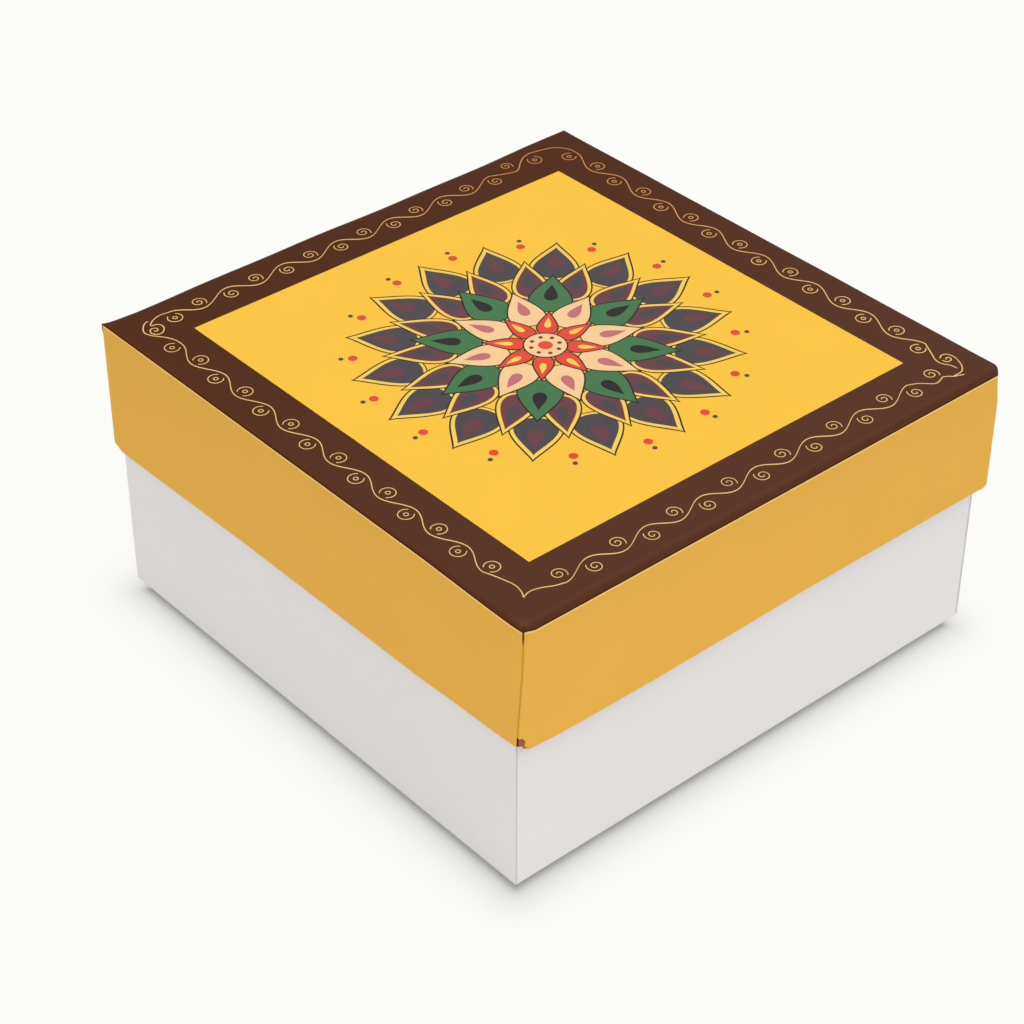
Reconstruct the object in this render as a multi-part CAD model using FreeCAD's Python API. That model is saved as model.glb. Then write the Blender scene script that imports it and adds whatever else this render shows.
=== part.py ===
"""A square sweet box of folded paperboard: an open base and a lid that slips down over it.

Each half is a tray folded from one creased sheet: a flat panel, four walls that rise from it in a soft
fold and whose rims roll inwards into a lining, and four corner tabs. The tabs are bent off the ends of two
opposite walls, and the other two walls cover them and hold them between wall and lining. Both trays come
from one function: the base stands on its panel, and the lid is the same fold turned over.

Origin at the middle of the base's underside, +X to the right, +Y to the back, +Z up. Millimetres.
"""

import FreeCAD
import Part
import os
from FreeCAD import Vector

# Overall sizes
base_width = 200.0  # outside of the base, left to right
base_depth = 200.0  # outside of the base, front to back
box_height = 104.0  # table to lid top, closed
lid_height = 48.4  # lid top to lid rim

# Board and fits
board = 0.4  # thickness of the sheet
lid_play_sides = 2.8  # between a base wall and the lid's lining, on the left and on the right
lid_play_ends = 0.4  # the same at the front and at the back
seat_gap = 0.3  # between the base's rim and the underside of the lid
lining_play = 0.4  # between a lining's ends and what stands beside them

# Folds, as radii on the inside of the bend
lid_fold_inside = 1.9
base_fold_inside = 0.6
corner_fold_inside = 0.3

# Corner tabs and their reliefs
tab_length = 32.0  # from the face of the wall that carries it
tab_taper = 5.0  # how far its edges draw in at the free end
tab_rounding = 4.0
relief_height = 4.0  # notch at a covering wall's rim, where its roll starts
relief_play = 1.4  # from the roll of the next wall to this wall's roll
relief_slant = 0.8  # how far the notch leans towards the corner at the rim
lining_bevel = 6.0  # along the lining's free edge
lining_bevel_rise = 2.5

# A wall is two leaves with a tab's room between them
wall = 3 * board
roll = wall / 2

SIDE_TURN = {"front": 0, "right": 90, "back": 180, "left": 270}
UP = Vector(0, 0, 1)


def prism(points, sweep):
    """A solid from a closed outline swept along a vector. An outline point (p, mid) is reached by an arc."""
    start = points[0]
    here, edges = start, []
    for step in points[1:] + [start]:
        if isinstance(step, tuple):
            end, middle = step
            edges.append(Part.Arc(here, middle, end).toShape())
        else:
            end = step
            edges.append(Part.LineSegment(here, end).toShape())
        here = end
    return Part.Face(Part.Wire(edges)).extrude(sweep)


def panel(half_width, half_depth, foot):
    """The flat panel between the folds."""
    across, along = half_width - foot, half_depth - foot
    return Part.makeBox(2 * across, 2 * along, board, Vector(-across, -along, 0))


def fold(half_run, fold_inside):
    """The quarter-round fold that leads from the panel into a wall, mitred where it meets its neighbours."""
    foot = fold_inside + board
    outer_middle = foot * (1 - 0.5**0.5)
    inner_middle = foot - fold_inside * 0.5**0.5
    bend = prism(
        [
            Vector(-half_run, foot, 0),
            (Vector(-half_run, 0, foot), Vector(-half_run, outer_middle, outer_middle)),
            Vector(-half_run, board, foot),
            (Vector(-half_run, foot, board), Vector(-half_run, inner_middle, inner_middle)),
        ],
        Vector(2 * half_run, 0, 0),
    )
    mitre = prism(
        [
            Vector(-half_run, 0, 0),
            Vector(half_run, 0, 0),
            Vector(half_run - foot, foot, 0),
            Vector(foot - half_run, foot, 0),
        ],
        Vector(0, 0, foot),
    )
    return bend.common(mitre)


def wall_leaf(half_fold, half_run, half_roll, fold_inside, height):
    """A wall's outer leaf, with the fold at its foot and its rim rolled inwards.

    X runs along the wall, Y inwards from its outer face and Z up from the panel's outer face. The fold, the
    leaf and the roll reach different lengths to each side of the middle."""
    foot = fold_inside + board
    shoulder = height - roll
    leaf = Part.makeBox(2 * half_run, board, shoulder - foot, Vector(-half_run, 0, foot))
    rim = prism(
        [
            Vector(-half_roll, 0, shoulder),
            (Vector(-half_roll, wall, shoulder), Vector(-half_roll, roll, height)),
            Vector(-half_roll, wall - board, shoulder),
            (Vector(-half_roll, board, shoulder), Vector(-half_roll, roll, height - board)),
        ],
        Vector(2 * half_roll, 0, 0),
    )
    return leaf.fuse(rim).fuse(fold(half_fold, fold_inside)).removeSplitter()


def relief(half_run, half_roll, height):
    """The two notches, at both ends of a covering wall's rim, that clear the next wall's roll."""
    notch = prism(
        [
            Vector(half_roll, 0, height - relief_height),
            Vector(half_roll - relief_slant, 0, height),
            Vector(half_run, 0, height),
            Vector(half_run, 0, height - relief_height),
        ],
        Vector(0, wall, 0),
    )
    return notch.fuse(notch.mirror(Vector(), Vector(1, 0, 0)))


def lining(half_run, foot, height):
    """The inner leaf that hangs from the rolled rim, bevelled at the ends of its free edge."""
    shoulder = height - roll
    return prism(
        [
            Vector(-half_run, wall - board, shoulder),
            Vector(half_run, wall - board, shoulder),
            Vector(half_run, wall - board, foot + lining_bevel_rise),
            Vector(half_run - lining_bevel, wall - board, foot),
            Vector(lining_bevel - half_run, wall - board, foot),
            Vector(-half_run, wall - board, foot + lining_bevel_rise),
        ],
        Vector(0, board, 0),
    )


def corner_tab(half_run, foot, height):
    """The tab at the right-hand end of a wall: a corner bend, then a tapered tongue behind the next wall."""
    shoulder = height - roll
    outer = corner_fold_inside + board
    face = half_run - board  # inner face of the wall that covers the tab
    bend = face - outer  # where the wall's flat leaf ends
    strip = prism(
        [
            Vector(bend, 0, foot),
            (Vector(face, outer, foot), Vector(bend + outer * 0.5**0.5, outer * (1 - 0.5**0.5), foot)),
            Vector(face, tab_length, foot),
            Vector(face - board, tab_length, foot),
            Vector(face - board, outer, foot),
            (
                Vector(bend, board, foot),
                Vector(bend + corner_fold_inside * 0.5**0.5, outer - corner_fold_inside * 0.5**0.5, foot),
            ),
        ],
        Vector(0, 0, shoulder - foot),
    )
    tongue = prism(
        [
            Vector(bend, 0, foot),
            Vector(bend, outer, foot),
            Vector(bend, tab_length, foot + tab_taper),
            Vector(bend, tab_length, shoulder - tab_taper),
            Vector(bend, outer, shoulder),
            Vector(bend, 0, shoulder),
        ],
        Vector(outer, 0, 0),
    )
    tips = [
        edge
        for edge in tongue.Edges
        if all(abs(vertex.Point.y - tab_length) < board / 10 for vertex in edge.Vertexes)
        and abs(edge.Vertexes[0].Point.x - edge.Vertexes[-1].Point.x) > board / 10
    ]
    return strip.common(tongue.makeFillet(tab_rounding, tips))


def on_side(shape, side, distance):
    """A shape made along the X axis, set at that distance from the middle and turned to its side."""
    placed = shape.translated(Vector(0, -distance, 0))
    placed.rotate(Vector(), UP, SIDE_TURN[side])
    return placed


def tray(name, panel_name, width, depth, height, fold_inside, covering):
    """All the pieces of one folded tray, standing on its panel. The covering sides hide the corner tabs."""
    foot = fold_inside + board
    pieces = {f"{name}_{panel_name}": panel(width / 2, depth / 2, foot)}
    for side in SIDE_TURN:
        across = side in ("front", "back")
        distance, half_run = (depth / 2, width / 2) if across else (width / 2, depth / 2)
        if side in covering:
            half_roll = half_run - wall - relief_play
            leaf = wall_leaf(half_run, half_run, half_roll, fold_inside, height)
            leaf = leaf.cut(relief(half_run, half_roll, height))
            inner = lining(half_roll, foot, height)
        else:
            half_roll = half_run - wall + board - lining_play
            half_leaf = half_run - 2 * board - corner_fold_inside
            leaf = wall_leaf(half_run, half_leaf, half_roll, fold_inside, height)
            inner = lining(half_roll, foot, height)
            tab = corner_tab(half_run, foot, height)
            ends = {"right": tab, "left": tab.mirror(Vector(), Vector(1, 0, 0))}
            for end, shape in ends.items():
                pieces[f"{name}_{corner_name(side, end)}_tab"] = on_side(shape, side, distance)
        pieces[f"{name}_{side}_wall"] = on_side(leaf, side, distance)
        pieces[f"{name}_{side}_lining"] = on_side(inner, side, distance)
    return pieces


def corner_name(side, end):
    """The corner at one end of a wall, seen from outside that wall, named as seen from the front."""
    order = ["front", "right", "back", "left"]
    here = order.index(side)
    beside = order[(here + 1) % 4] if end == "right" else order[(here - 1) % 4]
    across = side if side in ("front", "back") else beside
    along = beside if across == side else side
    return f"{across}_{along}"


def turned_over(shape, top):
    """A tray piece turned upside down, with the panel's outer face at that height."""
    return shape.mirror(Vector(), UP).translated(Vector(0, 0, top))


def main():
    os.makedirs("parts", exist_ok=True)
    base_height = box_height - board - seat_gap
    lid_width = base_width + 2 * (lid_play_sides + wall)
    lid_depth = base_depth + 2 * (lid_play_ends + wall)
    pieces = tray(
        "base", "floor_panel", base_width, base_depth, base_height, base_fold_inside, ("front", "back")
    )
    lid = tray(
        "lid",
        "top_panel",
        lid_width,
        lid_depth,
        lid_height,
        lid_fold_inside,
        ("left", "right"),
    )
    for name, shape in lid.items():
        pieces[name] = turned_over(shape, box_height)
    for name, shape in pieces.items():
        shape.exportStep(f"parts/{name}.step")


main()
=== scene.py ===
"""A square sweet box of folded board: white base, and a yellow lid with a printed brown border.

The lid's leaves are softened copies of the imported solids, and the base's are the solids themselves. The gold
vine and the flower on the lid are thin films of ink made with Geometry Nodes. Metres, in the solids' frame.
"""

import math

import bmesh
import bpy
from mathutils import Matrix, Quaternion, Vector


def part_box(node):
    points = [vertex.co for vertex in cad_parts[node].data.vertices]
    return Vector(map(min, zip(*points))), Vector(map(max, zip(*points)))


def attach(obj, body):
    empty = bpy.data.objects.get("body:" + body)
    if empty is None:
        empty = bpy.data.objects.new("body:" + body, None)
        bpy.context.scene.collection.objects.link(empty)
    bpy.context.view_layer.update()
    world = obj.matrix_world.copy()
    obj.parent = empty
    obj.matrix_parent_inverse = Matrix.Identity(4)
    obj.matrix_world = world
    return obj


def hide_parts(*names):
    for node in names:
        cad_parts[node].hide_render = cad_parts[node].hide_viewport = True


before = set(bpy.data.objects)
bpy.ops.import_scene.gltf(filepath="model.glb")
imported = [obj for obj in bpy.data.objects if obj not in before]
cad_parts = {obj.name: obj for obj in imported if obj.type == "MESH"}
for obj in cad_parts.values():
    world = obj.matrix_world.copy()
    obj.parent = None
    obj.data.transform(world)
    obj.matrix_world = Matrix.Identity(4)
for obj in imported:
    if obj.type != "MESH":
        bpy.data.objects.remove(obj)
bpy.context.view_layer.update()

MM = 0.001

# Sizes read from the solids
PANEL_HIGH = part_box("lid_top_panel")[1]
LID_LOW, LID_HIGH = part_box("lid_right_wall")
BASE_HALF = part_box("base_front_wall")[1].x
TOP = PANEL_HIGH.z
LID_X, LID_Y = LID_HIGH.x, LID_HIGH.y
LID_RIM = LID_LOW.z
FOLD_RADIUS = LID_X - PANEL_HIGH.x
FOLD_END = TOP - FOLD_RADIUS

# The yellow panel printed on the lid, a little off its middle
YELLOW_LOW = Vector((-81.5 * MM, -80.4 * MM))
YELLOW_HIGH = Vector((82.9 * MM, 78.1 * MM))
YELLOW_MIDDLE = (YELLOW_LOW + YELLOW_HIGH) / 2


def srgb(red, green, blue):
    """A colour from its screen values, 0 to 255, as the linear values that shaders take."""
    shares = (channel / 255 for channel in (red, green, blue))
    linear = [s / 12.92 if s <= 0.04045 else ((s + 0.055) / 1.055) ** 2.4 for s in shares]
    return (*linear, 1.0)


def worn(colour):
    """The same colour where the ink lies thinner."""
    return tuple(0.86 * channel for channel in colour[:3]) + (1.0,)


# Colours of the print and the board, and of the painted highlights and shade
LID_YELLOW = srgb(251, 198, 68)
WALL_YELLOW = srgb(241, 184, 78)
LID_BROWN, RIGHT_BROWN = srgb(81, 43, 22), srgb(88, 53, 37)
# The darkest brown is painted shade along the bottom edge of each fold
WARM_BROWN, FOLD_SHADE_BROWN = srgb(98, 44, 8), srgb(50, 10, 0)
# A painted highlight: the pale line where each fold turns down into its wall
PAINTED_FOLD_HIGHLIGHT = srgb(255, 217, 132)
TAB_BROWN, TAB_SHADE = srgb(168, 96, 70), srgb(74, 24, 20)
# Painted shade in the open seam at front right: dark brown at its top, darker yellow below
SEAM_SHADE_TOP, SEAM_SHADE_LOW = srgb(104, 60, 18), srgb(222, 164, 58)
RAW_EDGE = srgb(246, 188, 74)
BOARD_BACK = srgb(208, 202, 194)
BASE_WHITE = srgb(243, 240, 239)
# The grey of the base's corner seams is painted shade of the slit
BASE_SEAM_SHADE = srgb(206, 204, 200)
FLECK = srgb(168, 160, 150)
GOLD_INK = srgb(255, 210, 132)
COPPER_INK = srgb(214, 138, 68)
FLOWER_INKS = {
    "black": srgb(27, 23, 23),
    "charcoal": srgb(72, 65, 70),
    "plum": srgb(104, 56, 64),
    "yellow": srgb(252, 208, 84),
    "green": srgb(62, 118, 70),
    "peach": srgb(250, 206, 150),
    "pink": srgb(198, 112, 116),
    "red": srgb(232, 68, 48),
}


class Wire:
    """A node's output. Arithmetic on wires and numbers adds Math nodes to its tree."""

    def __init__(self, graph, socket):
        self.graph = graph
        self.socket = socket

    def maths(self, operation, *values):
        return self.graph.node("ShaderNodeMath", {"operation": operation}, dict(enumerate(values)))

    def __add__(self, other):
        return self.maths("ADD", self, other)

    __radd__ = __add__

    def __sub__(self, other):
        return self.maths("SUBTRACT", self, other)

    def __rsub__(self, other):
        return self.maths("SUBTRACT", other, self)

    def __mul__(self, other):
        return self.maths("MULTIPLY", self, other)

    __rmul__ = __mul__

    def __truediv__(self, other):
        return self.maths("DIVIDE", self, other)

    def __pow__(self, other):
        return self.maths("POWER", self, other)

    def __mod__(self, other):
        return self.maths("MODULO", self, other)

    def __abs__(self):
        return self.maths("ABSOLUTE", self)

    def above(self, other):
        return self.maths("GREATER_THAN", self, other)

    def most(self, other):
        return self.maths("MAXIMUM", self, other)

    def least(self, other):
        return self.maths("MINIMUM", self, other)

    def exponent(self):
        return self.maths("EXPONENT", self)

    def rise(self, start, end):
        """0 below start and 1 above end, with a smooth step between them."""
        limits = {"Value": self, "From Min": start, "From Max": end}
        return self.graph.node("ShaderNodeMapRange", {"interpolation_type": "SMOOTHSTEP"}, limits)


class Graph:
    """A node tree in the making."""

    def __init__(self, tree):
        self.tree = tree

    def node(self, kind, settings=None, inputs=None, output=0):
        """Adds a node, sets its settings, then its sockets by name or number, and gives one output."""
        node = self.tree.nodes.new(kind)
        for name, value in (settings or {}).items():
            setattr(node, name, value)
        for name, value in (inputs or {}).items():
            socket = node.inputs[name]
            for wire in value if isinstance(value, list) else [value]:
                if isinstance(wire, Wire):
                    self.tree.links.new(wire.socket, socket)
                else:
                    socket.default_value = wire
        return Wire(self, node.outputs[output]) if node.outputs else None

    def split(self, vector):
        return [self.node("ShaderNodeSeparateXYZ", None, {"Vector": vector}, axis) for axis in "XYZ"]

    def vector(self, x=0.0, y=0.0, z=0.0):
        return self.node("ShaderNodeCombineXYZ", None, {"X": x, "Y": y, "Z": z})


class Finish(Graph):
    """A material in the making, with the place on the object and the way it faces at hand."""

    def __init__(self, name):
        self.material = bpy.data.materials.new(name)
        self.material.use_nodes = True
        super().__init__(self.material.node_tree)
        self.tree.nodes.clear()
        self.place = self.node("ShaderNodeTexCoord", output="Object")
        self.x, self.y, self.z = self.split(self.place)
        facing = self.node("ShaderNodeNewGeometry", output="Normal")
        self.facing_x, self.facing_y, self.facing_z = self.split(facing)

    def noise(self, size, detail=2.0):
        """Even noise about 0, whose blotches are about that size."""
        inputs = {"Vector": self.place, "Scale": 1 / size, "Detail": detail}
        return self.node("ShaderNodeTexNoise", None, inputs) - 0.5

    def paper_grain(self):
        """The finest unevenness of the board's surface."""
        return self.noise(0.35 * MM, 3.0)

    def specks(self, spacing, radius):
        """1 in small scattered spots, 0 between them."""
        inputs = {"Vector": self.place, "Scale": 1 / spacing}
        distance = self.node("ShaderNodeTexVoronoi", None, inputs, "Distance") * spacing
        return 1.0 - (distance + self.noise(radius) * radius).rise(radius * 0.6, radius)

    def mix(self, factor, first, second):
        return self.node("ShaderNodeMix", {"data_type": "RGBA"}, {0: factor, 6: first, 7: second}, 2)

    def shade(self, colour, amount):
        """A colour made lighter or darker by an amount about 0."""
        return self.node("ShaderNodeHueSaturation", None, {"Value": amount + 1.0, "Color": colour})

    def surface(self, colour, roughness, relief, depth, gloss):
        """Ends the material: colour, roughness and a relief of that depth feed one shader."""
        normal = self.node("ShaderNodeBump", None, {"Height": relief, "Distance": depth})
        inputs = {
            "Base Color": colour,
            "Roughness": roughness,
            "Normal": normal,
            "Specular IOR Level": gloss,
        }
        shader = self.node("ShaderNodeBsdfPrincipled", None, inputs)
        self.node("ShaderNodeOutputMaterial", None, {"Surface": shader})
        return self.material


class GeometryTree(Graph):
    """A Geometry Nodes group in the making, with named inputs and one geometry out."""

    def __init__(self, name):
        super().__init__(bpy.data.node_groups.new(name, "GeometryNodeTree"))
        self.tree.interface.new_socket("Geometry", in_out="OUTPUT", socket_type="NodeSocketGeometry")
        self.entry = self.tree.nodes.new("NodeGroupInput")

    def input(self, name, kind="Float"):
        self.tree.interface.new_socket(name, in_out="INPUT", socket_type="NodeSocket" + kind)
        return Wire(self, self.entry.outputs[name])

    def use(self, other, **values):
        """Puts another group into this one. Underscores in the names of its inputs stand for spaces."""
        inputs = {name.replace("_", " "): value for name, value in values.items()}
        return self.node("GeometryNodeGroup", {"node_tree": other.tree}, inputs)

    def join(self, *parts):
        return self.node("GeometryNodeJoinGeometry", None, {"Geometry": list(parts)})

    def ribbon(self, curve, width, thickness, weight=1.0):
        """A flat closed band along a curve that lies level."""
        level = self.node("GeometryNodeSetCurveNormal", {"mode": "Z_UP"}, {"Curve": curve})
        size = {"Width": width, "Height": thickness}
        section = self.node("GeometryNodeCurvePrimitiveQuadrilateral", None, size)
        inputs = {"Curve": level, "Profile Curve": section, "Scale": weight, "Fill Caps": True}
        return self.node("GeometryNodeCurveToMesh", None, inputs)

    def film(self, outline, thickness):
        """A closed flat film inside a level outline, rising from it by its thickness."""
        foot = self.node("GeometryNodeFillCurve", None, {"Curve": outline})
        raised = {"Mesh": foot, "Offset": (0, 0, 1), "Offset Scale": thickness, "Individual": False}
        top = self.node("GeometryNodeExtrudeMesh", None, raised)
        under = self.node("GeometryNodeFlipFaces", None, {"Mesh": foot})
        seams = {"Geometry": self.join(top, under), "Distance": 0.0005 * MM}
        return self.node("GeometryNodeMergeByDistance", None, seams)

    def turned_copies(self, shape, points, angle, chosen=True):
        """A copy of the shape on each chosen point, turned about the upright axis."""
        turn = {"Axis": (0, 0, 1), "Angle": angle}
        rotation = self.node("FunctionNodeAxisAngleToRotation", None, turn)
        inputs = {"Points": points, "Selection": chosen, "Instance": shape, "Rotation": rotation}
        return self.node("GeometryNodeInstanceOnPoints", None, inputs)

    def ring_places(self, count, turn):
        """Points at the middle, one for each copy round a ring, with the angle of each."""
        points = self.node("GeometryNodeMeshLine", None, {"Count": count, "Offset": (0, 0, 0)})
        number = self.node("GeometryNodeInputIndex")
        return points, number * (2 * math.pi) / count + turn

    def end(self, geometry, material):
        """Ends the group in plain geometry of one material."""
        real = self.node("GeometryNodeRealizeInstances", None, {"Geometry": geometry})
        inked = self.node("GeometryNodeSetMaterial", None, {"Geometry": real, "Material": material})
        self.node("NodeGroupOutput", None, {"Geometry": inked})
        return self

    def mesh(self, name, source, values):
        """The plain mesh that the group makes from a source mesh and its input values."""
        holder = bpy.data.objects.new(name, source)
        bpy.context.collection.objects.link(holder)
        modifier = holder.modifiers.new(name, "NODES")
        modifier.node_group = self.tree
        for item in self.tree.interface.items_tree:
            if item.in_out == "INPUT" and item.name in values:
                modifier[item.identifier] = values[item.name]
        graph = bpy.context.evaluated_depsgraph_get()
        result = bpy.data.meshes.new_from_object(holder.evaluated_get(graph))
        holder.modifiers.remove(modifier)
        bpy.data.objects.remove(holder)
        return result


# The lid's soft board, and how it differs from the crisp solids

FILM_ROOM = 0.12 * MM  # the printed panel lies this much lower, so that the ink stays inside the box
EDGE_WAVE, FOLD_WAVE = 0.16 * MM, 0.4 * MM  # over the base's rim, and on the folds outside it
EDGE_WIDTH = 14 * MM
WALL_FADE = 14 * MM
SIDE_BOW, END_BOW = 0.3 * MM, 0.15 * MM
CUT_SPACING = 4 * MM
END_CUTS = [inset * MM for inset in (0.8, 1.6, 2.4, 3.2, 4.2, 5, 6, 7)]  # closer cuts at the ends of a leaf
CORNER_ROUNDING = {(1, -1): 1.6 * MM, (1, 1): 2.4 * MM, (-1, 1): 1.4 * MM, (-1, -1): 0.6 * MM}
CREASE_REACH = 3 * MM  # past the fold, what a tighter crease draws in

# Shares of a fold's radius: at the front from left to right, and at the left from front to back
FRONT_SHARE, LEFT_SHARE = (0.2, 0.5), (1.0, 0.7)

# How far the rims lie above or below the crisp ones, in millimetres by the place along the wall
FRONT_RIM = (
    (-104, 1.0), (-98, -0.9), (-80, -0.6), (-52, -0.1), (-26, 0.35),
    (52, 0.35), (80, 0.95), (90, 1.05), (101, 1.55),
)
RIGHT_RIM = (
    (-101.4, 3.4), (-98.6, -0.15), (-90, -0.35), (-75, 0.0), (-50, -0.2),
    (-25, 0.0), (20, 0.65), (70, 0.4), (101, 0.1),
)
RIM_FACE = (2.2 * MM, MM)  # depths where a wall's face starts to count and counts fully
RIM_FADE = 24 * MM  # height above the rim where these moves have died out

# How far the lid's top edge is drawn in at the back, given like the rims
BACK_DRAW = ((-104, 0.45), (-75, 0.45), (-55, 0.3), (60, 0.3), (104, 0.35))

# The front right corner leans inwards at its rim and backwards at its top. Each pair says how far from the
# right or the front face, or how high above the rim, a move starts and is full
SWAY, SWAY_RIGHT, SWAY_FRONT = MM, (12 * MM, MM), (28 * MM, 4 * MM)
DRAW, DRAW_RIGHT, DRAW_FRONT = 1.3 * MM, (5 * MM, 0.2 * MM), (12 * MM, MM)
DRAW_LOW, DRAW_HIGH = LID_RIM + 4 * MM, LID_RIM + 36 * MM
TUCK, TUCK_FULL, TUCK_END = 0.3 * MM, 6 * MM, (0.9 * MM, 3 * MM)  # of the front rim beside that corner

# The ends of the side walls. At front right the notch stays open: the leaf's lower corner is rounded, and
# fills a little of the notch. The other ends reach down over their notches, and the one at front left steps
# back behind a tab's bend. Pairs are distances from the end, where a move starts and is full
NOTCH_HEIGHT = 4 * MM
OPEN_END, OPEN_TIP = (7 * MM, 3 * MM), (1.5 * MM, 0.0)
LEAF_ROUNDING, LEAF_ROUNDING_HEIGHT = 2.4 * MM, 1.7 * MM
NOTCH_FILL, NOTCH_FILL_TOP, NOTCH_FILL_FADE = 0.8 * MM, 4.2 * MM, 2.5 * MM
COVER_REACH, COVER_SHORTER, COVER_TIP = 3.8 * MM, 0.9 * MM, (1.4 * MM, 0.0)
COVER_END, COVER_TOP, COVER_FADE = (3.5 * MM, 2.9 * MM), 12 * MM, 8 * MM
HIDDEN_STEP, HIDDEN_END, HIDDEN_FADE = 0.75 * MM, (1.5 * MM, 0.0), 4 * MM
TAB_CLOSENESS, TAB_BEND = 0.6, (0.7 * MM, 2 * MM)

SMOOTH_ANGLE = math.radians(30)


def eased(value, start, end):
    """0 below start and 1 above end, with a smooth step between them."""
    share = min(max((value - start) / (end - start), 0.0), 1.0)
    return share * share * (3 - 2 * share)


def nearing(value, limit, start, full):
    """0 where a value is further than start below a limit, and 1 where it is nearer than full to it."""
    return eased(value, limit - start, limit - full)


def ripple(along, phase):
    """A slow unevenness from 0 to 1 along an edge."""
    slow = math.sin(along / (19 * MM) + phase)
    quick = math.sin(along / (7.7 * MM) + 2.3 * phase)
    return 0.5 + 0.3 * slow + 0.2 * quick


def profile(points, along):
    """The height at a place along a wall, eased from each of the given places to the next."""
    height = points[0][1]
    for (start, low), (end, high) in zip(points, points[1:]):
        height += (high - low) * eased(along, start * MM, end * MM)
    return height * MM


def creased(depth, drop, share):
    """A point's distances from a wall's face and from the top, drawn in towards a tighter fold."""
    beyond = eased(max(depth, drop), FOLD_RADIUS, FOLD_RADIUS + CREASE_REACH)
    scale = share + (1 - share) * beyond
    return depth * scale, drop * scale


def softened(point):
    """Where a point of the crisp lid lies on real board: creases tighten, edges sag, corners and rims give.

    Every move stays inside the lid's box, and is the same for all leaves, so that none meets another."""
    x, y, z = point
    side_x, side_y = math.copysign(1, x), math.copysign(1, y)
    near_x = eased(abs(x), LID_X - EDGE_WIDTH, LID_X)
    near_y = eased(abs(y), LID_Y - EDGE_WIDTH, LID_Y)
    high = eased(z, FOLD_END - WALL_FADE, FOLD_END)

    share = FRONT_SHARE[0] + (FRONT_SHARE[1] - FRONT_SHARE[0]) * eased(x, 0, LID_X)
    depth, drop = creased(y + LID_Y, TOP - z, share)
    y, z = depth - LID_Y, TOP - drop
    share = LEFT_SHARE[0] + (LEFT_SHARE[1] - LEFT_SHARE[0]) * eased(y, LID_Y / 2, LID_Y)
    depth, drop = creased(x + LID_X, TOP - z, share)
    x, z = depth - LID_X, TOP - drop

    rounding = CORNER_ROUNDING[side_x, side_y] * high
    out_x, out_y = abs(x) - LID_X + rounding, abs(y) - LID_Y + rounding
    if min(out_x, out_y) > 0:
        pull = max(out_x, out_y) / math.hypot(out_x, out_y)
        x = side_x * (LID_X - rounding + out_x * pull)
        y = side_y * (LID_Y - rounding + out_y * pull)

    outside_base = eased(abs(x), BASE_HALF + MM, LID_X - MM)
    sag_x = ripple(y, 1.0 + side_x) * (EDGE_WAVE * near_x + FOLD_WAVE * outside_base)
    sag_y = ripple(x, 2.0 + side_y) * EDGE_WAVE * near_y
    sag = FILM_ROOM + max(sag_x, sag_y) * (1 - 0.8 * near_x * near_y)
    settled = z - sag * eased(z, LID_RIM + WALL_FADE, TOP)

    middle = max(4 * (z - LID_RIM) * (TOP - z) / (TOP - LID_RIM) ** 2, 0.0)
    x -= side_x * near_x * SIDE_BOW * middle * (1 - (y / LID_Y) ** 2) * (0.5 + ripple(y, side_x))
    y -= side_y * near_y * END_BOW * middle * (1 - (x / LID_X) ** 2) * (0.5 + ripple(x, side_y))

    sway = SWAY * nearing(x, LID_X, *SWAY_RIGHT) * nearing(-y, LID_Y, *SWAY_FRONT)
    sway *= (TOP - z) / (TOP - LID_RIM)
    draw = DRAW * nearing(x, LID_X, *DRAW_RIGHT) * nearing(-y, LID_Y, *DRAW_FRONT)
    draw *= eased(z, DRAW_LOW, DRAW_HIGH)
    fold = eased(z, FOLD_END - MM, FOLD_END + 0.5 * MM)
    back = nearing(y, LID_Y, (0.9 + 1.4 * fold) * MM, (0.3 + 0.3 * fold) * MM)
    draw -= profile(BACK_DRAW, x) * back * eased(z, FOLD_END - WALL_FADE, FOLD_END)
    front = nearing(-y, LID_Y, *RIM_FACE)
    right = nearing(x, LID_X, *RIM_FACE)
    low = eased(LID_RIM + RIM_FADE - z, 0, RIM_FADE)
    lift = (front * profile(FRONT_RIM, x) + right * profile(RIGHT_RIM, y)) / max(front + right, 1.0)
    sprung = eased(x, LID_X / 2, LID_X - TUCK_FULL) * eased(LID_X - x, *TUCK_END)
    return Vector((x - sway, y + draw + TUCK * front * low * sprung, settled + lift * low))


def covered(point):
    """A point of a side wall's leaf, whose ends reach down over the notches except the one at front right.

    At front left the leaf also ends behind the bend of the front wall's tab."""
    x, y, z = point
    height = z - LID_RIM
    if y < 0 < x:
        end = nearing(-y, LID_Y, *OPEN_END) * (1 - nearing(-y, LID_Y, *OPEN_TIP))
        rounded = LEAF_ROUNDING * eased(LEAF_ROUNDING_HEIGHT - height, 0, LEAF_ROUNDING_HEIGHT)
        filled = NOTCH_FILL * eased(NOTCH_FILL_TOP - height, 0, NOTCH_FILL_FADE)
        return Vector((x, y + end * (rounded - filled), z))
    low = eased(COVER_TOP - height, 0, COVER_FADE)
    end = nearing(abs(y), LID_Y, *COVER_END)
    reach = (COVER_REACH - COVER_SHORTER * nearing(y, LID_Y, *COVER_TIP)) * min(height / NOTCH_HEIGHT, 1.0)
    if y < 0:
        y += HIDDEN_STEP * nearing(-y, LID_Y, *HIDDEN_END) * eased(FOLD_END - z, 0, HIDDEN_FADE)
    return Vector((x, y, z - reach * end * low))


def tightened(point):
    """A point of the front right tab, its bend drawn close to the wall that covers it."""
    x, y, z = point
    depth = y + LID_Y
    share = TAB_CLOSENESS + (1 - TAB_CLOSENESS) * eased(depth, *TAB_BEND)
    return Vector((x, depth * share - LID_Y, z))


LEAF_ENDS = {"lid_left_wall": covered, "lid_right_wall": covered, "lid_front_right_tab": tightened}


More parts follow.
